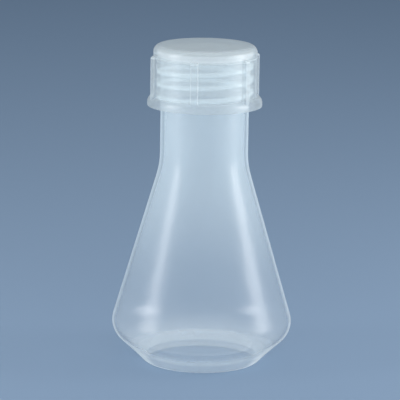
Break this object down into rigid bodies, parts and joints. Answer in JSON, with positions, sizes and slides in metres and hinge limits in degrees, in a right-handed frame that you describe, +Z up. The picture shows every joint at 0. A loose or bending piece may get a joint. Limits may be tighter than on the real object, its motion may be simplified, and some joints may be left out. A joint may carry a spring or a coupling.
{
  "type": "erlenmeyer flask",
  "caption": "Conical laboratory flask in translucent natural plastic with an externally threaded neck, a raised base and a ribbed, flanged screw cap over a loose sealing disc.",
  "frame": {"origin": "centre of the standing ring on the bench plane", "axes": "+Z up along the flask's axis; -Y towards the front, one cap rib lies 11.5 degrees to the left of the front"},
  "size_m": [0.0602, 0.0602, 0.1076],
  "materials": {
    "flask_plastic": "satin",
    "cap_plastic": "satin",
    "disc_plastic": "matte"
  },
  "bodies": {
    "flask": {"flask_body": "flask_plastic"},
    "seal": {"sealing_disc": "disc_plastic"},
    "cap": {"screw_cap": "cap_plastic"}
  },
  "joints": [
    {"name": "cap_lift", "type": "slide", "parent": "flask", "child": "seal", "axis": [0, 0, 1], "range_m": [0, 0.02151]},
    {"name": "cap_turn", "type": "hinge", "parent": "seal", "child": "cap", "pos_m": [0, 0, 0.097], "axis": [0, 0, 1], "range_deg": [0, 1800]}
  ],
  "couplings": [
    {"joint": "cap_lift", "follows": "cap_turn", "m_per_rad": 0.00068437}
  ]
}
